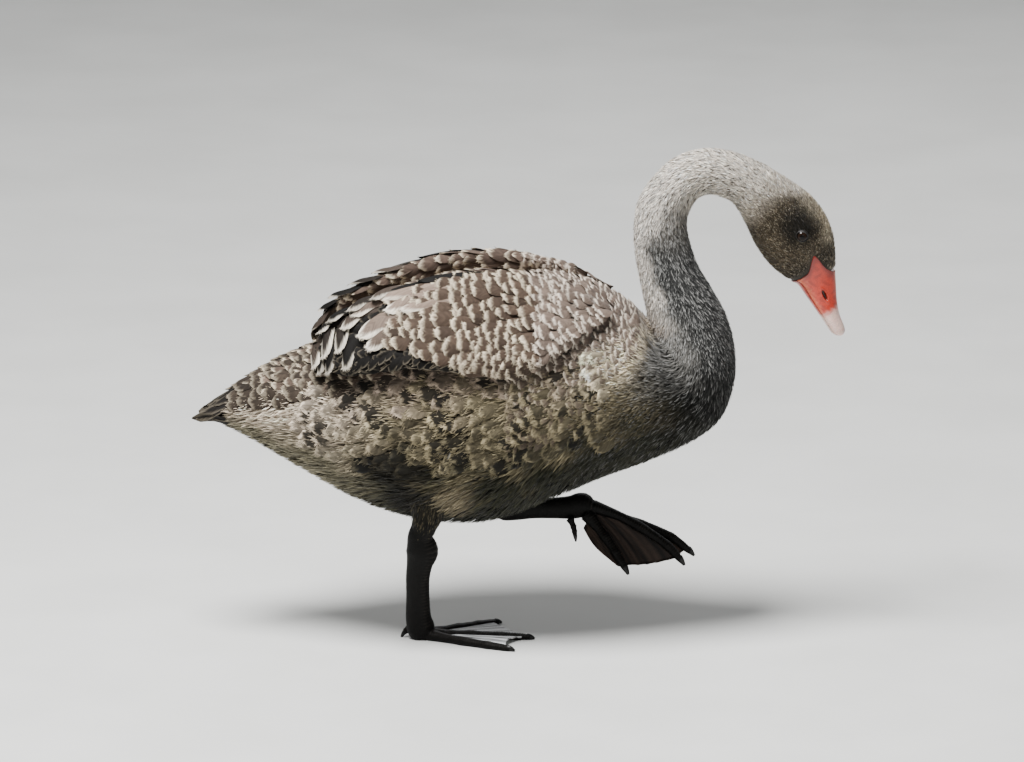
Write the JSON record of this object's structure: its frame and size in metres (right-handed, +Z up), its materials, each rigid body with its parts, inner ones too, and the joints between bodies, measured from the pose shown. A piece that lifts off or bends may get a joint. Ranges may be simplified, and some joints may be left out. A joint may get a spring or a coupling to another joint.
{
  "type": "young black swan",
  "caption": "Still life-size young black swan walking on one foot, the other lifted ahead, its neck arched over and its bill low in front.",
  "frame": {"origin": "on the floor under the middle of the bird's bounding box", "axes": "+X towards the bill, +Y towards the bird's left side, +Z up"},
  "size_m": [0.6441, 0.2256, 0.4993],
  "materials": {
    "plumage": "soft grey-brown down and short feathers",
    "wing_plumage": "dark brown feathers with pale buff fringes",
    "neck_plumage": "slate grey velvet down with silvery streaks",
    "head_plumage": "short dark brown velvet down",
    "bill_skin": "smooth waxy red skin over horn",
    "bill_nail": "smooth pale horn",
    "eye": "wet and glossy",
    "leg_skin": "black scaled skin with a dull sheen"
  },
  "bodies": {
    "root": {"tail": "plumage", "torso": "plumage", "wing_left": "wing_plumage", "wing_right": "wing_plumage", "neck_root": "neck_plumage", "neck_low": "neck_plumage", "neck_rise": "neck_plumage", "neck_fall": "neck_plumage", "head": "head_plumage", "bill_upper": "bill_skin", "bill_lower": "bill_skin", "bill_tip": "bill_nail", "eye_left": "eye", "eye_right": "eye", "thigh_right": "plumage", "thigh_left": "plumage", "shank_right": "leg_skin", "shank_left": "leg_skin", "foot_right": "leg_skin", "foot_left": "leg_skin"}
  },
  "joints": []
}
